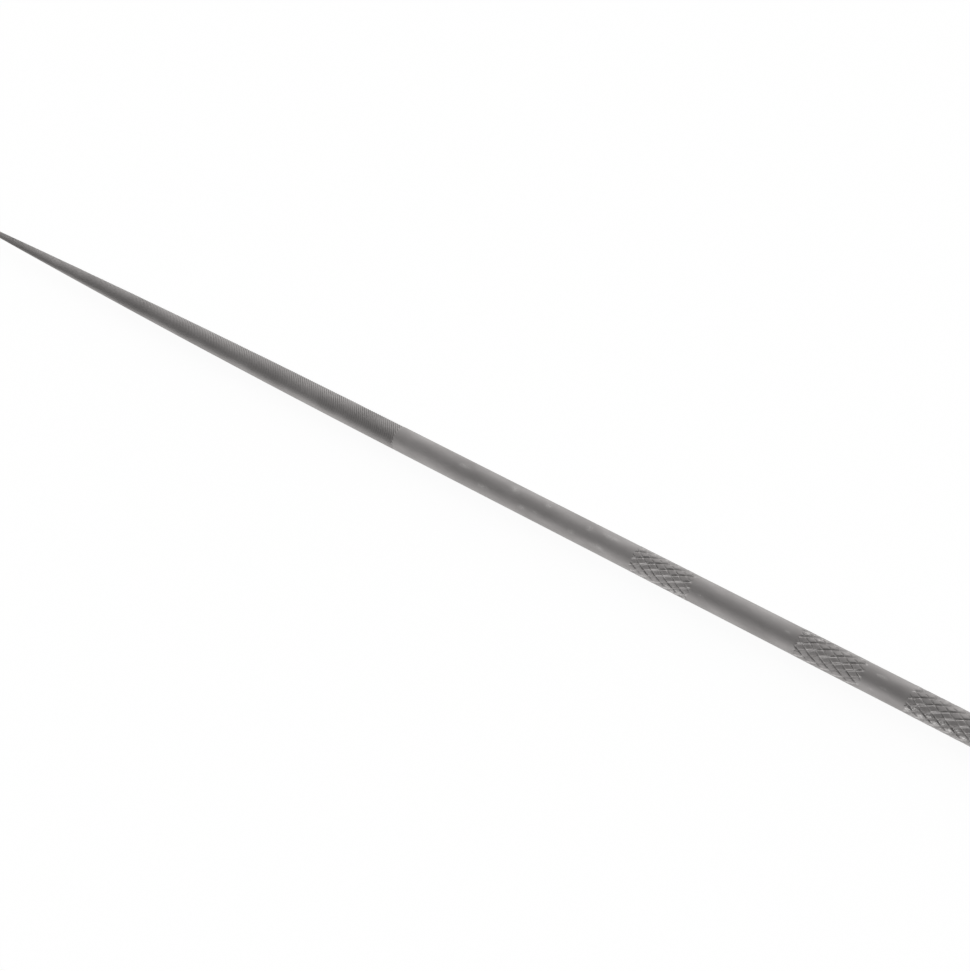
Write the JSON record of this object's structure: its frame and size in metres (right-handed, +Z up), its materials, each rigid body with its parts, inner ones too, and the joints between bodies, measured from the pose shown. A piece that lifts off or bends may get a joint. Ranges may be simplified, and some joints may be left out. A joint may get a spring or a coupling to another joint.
{
  "type": "round swiss pattern file",
  "caption": "Slim round needle file of tool steel: a fine-toothed blade tapering to a point, a plain round shank and a handle with diamond-knurled grip bands.",
  "frame": {"origin": "centre of the flat face at the butt of the handle, on the bar's axis", "axes": "+X along the bar's axis from the point towards the butt and out of the butt face; +Y and +Z square to it, +Z up when the file lies flat"},
  "size_m": [0.16, 0.003, 0.003],
  "materials": {
    "cut_steel": "fine-cut hardened tool steel, dull dark grey",
    "ground_steel": "ground and sandblasted tool steel, satin grey",
    "knurled_steel": "rolled diamond knurl in tool steel, satin grey"
  },
  "bodies": {
    "root": {"toothed_taper": "cut_steel", "plain_shank": "ground_steel", "front_knurl": "knurled_steel", "marking_land": "ground_steel", "middle_knurl": "knurled_steel", "short_land": "ground_steel", "rear_knurl": "knurled_steel", "butt_land": "ground_steel"}
  },
  "joints": []
}
